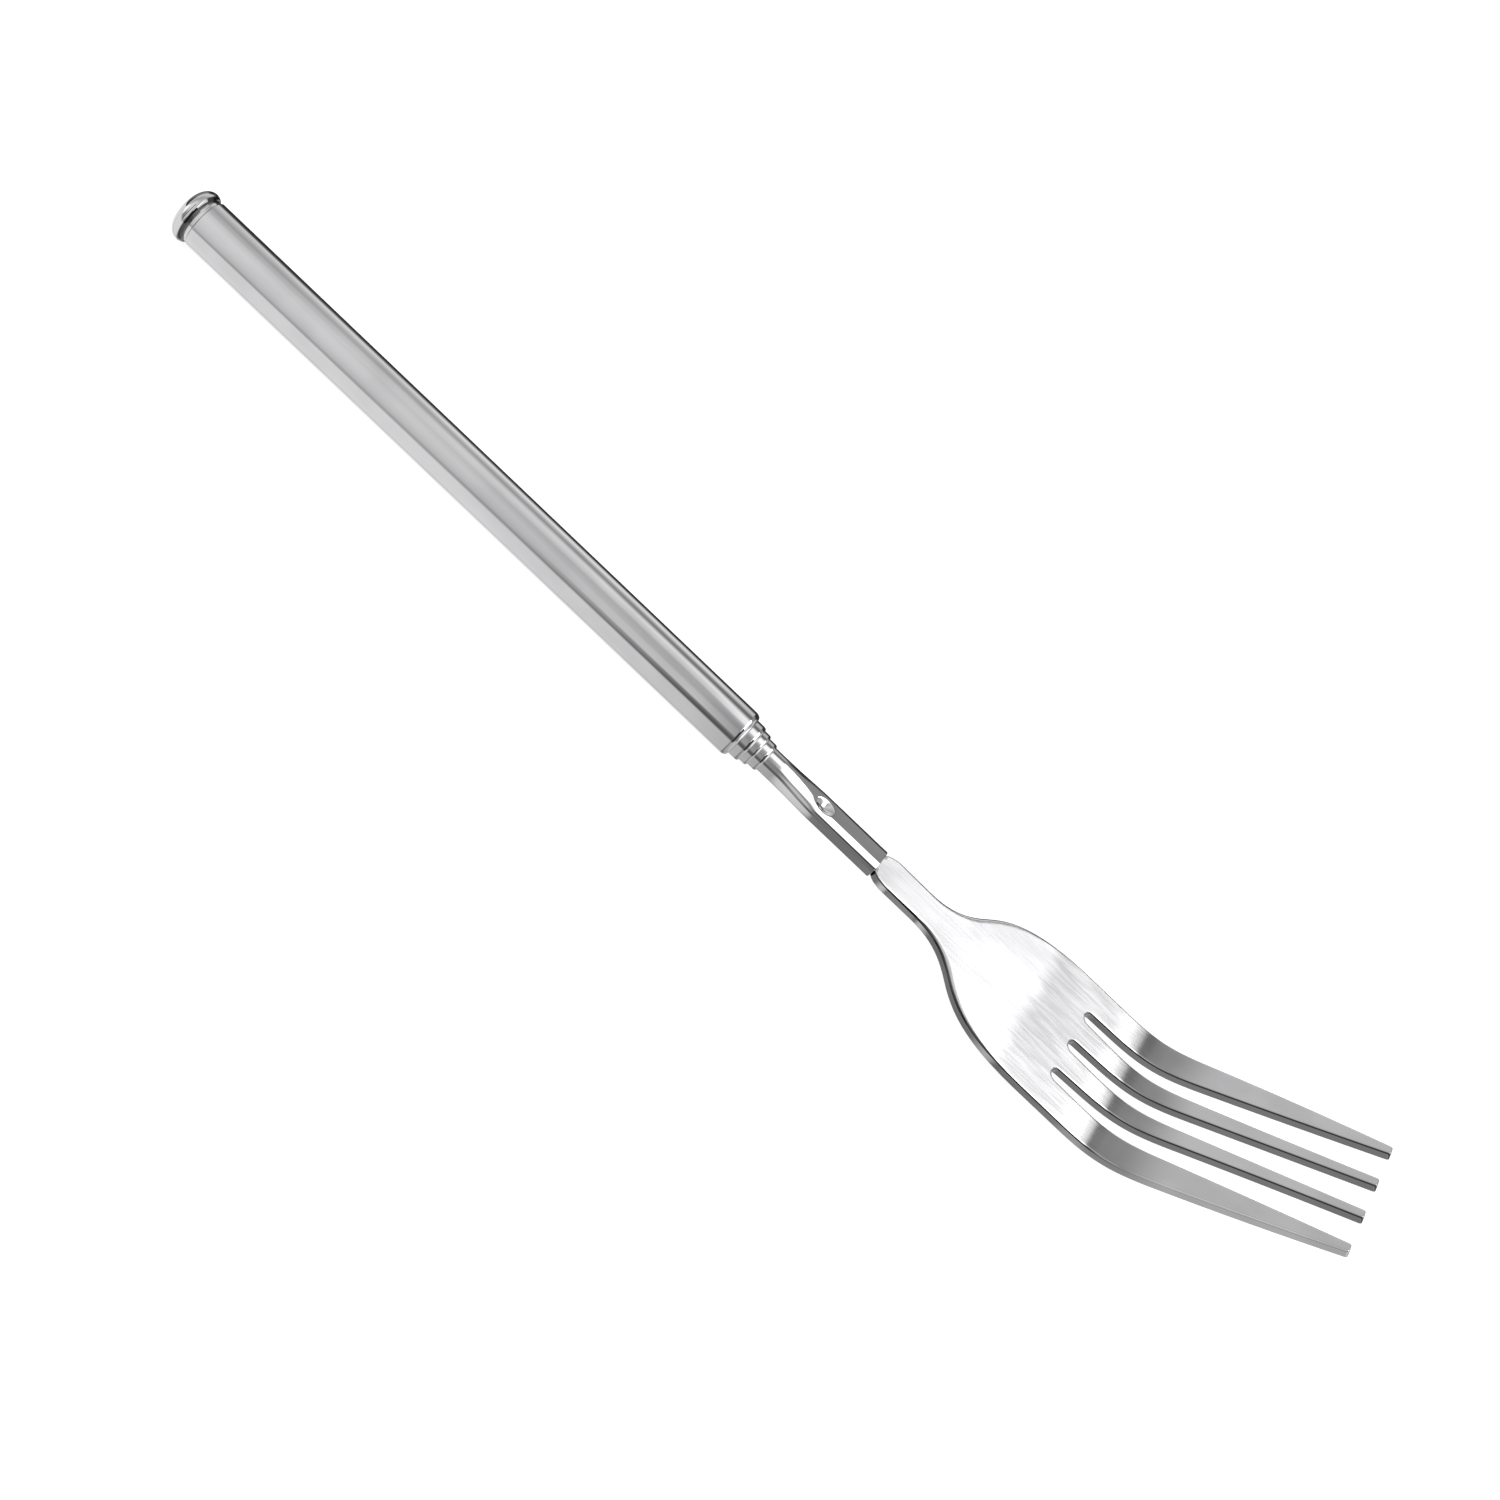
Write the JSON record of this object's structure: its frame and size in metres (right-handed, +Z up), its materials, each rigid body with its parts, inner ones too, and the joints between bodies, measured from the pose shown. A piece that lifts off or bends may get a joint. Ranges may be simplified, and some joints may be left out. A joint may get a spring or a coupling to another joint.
{
  "type": "telescopic roasting fork",
  "caption": "Telescopic fork: a stamped four-tine head crimped on the innermost of several nested steel tubes that slide out of a capped handle tube.",
  "frame": {"origin": "under the middle of the collapsed fork, at the level of the end cap's lowest point", "axes": "+X along the handle towards the tines, +Z up, the way the tines are bent, Y across the fork"},
  "size_m": [0.2235, 0.026, 0.0253],
  "materials": {
    "polished_steel": "mirror polished stainless steel",
    "satin_steel": "bright steel with fine lengthwise polishing lines",
    "spring_brass": "plain spring brass"
  },
  "bodies": {
    "handle": {"handle_tube": "polished_steel", "end_cap": "polished_steel"},
    "stage_1": {"stage_tube_1": "polished_steel", "friction_shim_1_upper": "spring_brass", "friction_shim_1_lower": "spring_brass"},
    "stage_2": {"stage_tube_2": "polished_steel", "friction_shim_2_upper": "spring_brass", "friction_shim_2_lower": "spring_brass"},
    "stage_3": {"stage_tube_3": "polished_steel", "friction_shim_3_upper": "spring_brass", "friction_shim_3_lower": "spring_brass"},
    "shaft_shims": {"friction_shim_4_upper": "spring_brass", "friction_shim_4_lower": "spring_brass"},
    "fork": {"shaft_tube": "polished_steel", "fork_head": "satin_steel"}
  },
  "joints": [
    {"name": "stage_1_slide", "type": "slide", "parent": "handle", "child": "stage_1", "axis": [1, 0, 0], "range_m": [0, 0.1]},
    {"name": "stage_2_slide", "type": "slide", "parent": "stage_1", "child": "stage_2", "axis": [1, 0, 0], "range_m": [0, 0.102]},
    {"name": "stage_3_slide", "type": "slide", "parent": "stage_2", "child": "stage_3", "axis": [1, 0, 0], "range_m": [0, 0.103]},
    {"name": "shaft_slide", "type": "slide", "parent": "stage_3", "child": "shaft_shims", "axis": [1, 0, 0], "range_m": [0, 0.1045]},
    {"name": "fork_swivel", "type": "hinge", "parent": "shaft_shims", "child": "fork", "pos_m": [-0.00047, 0, 0.0044], "axis": [1, 0, 0], "continuous": true}
  ]
}
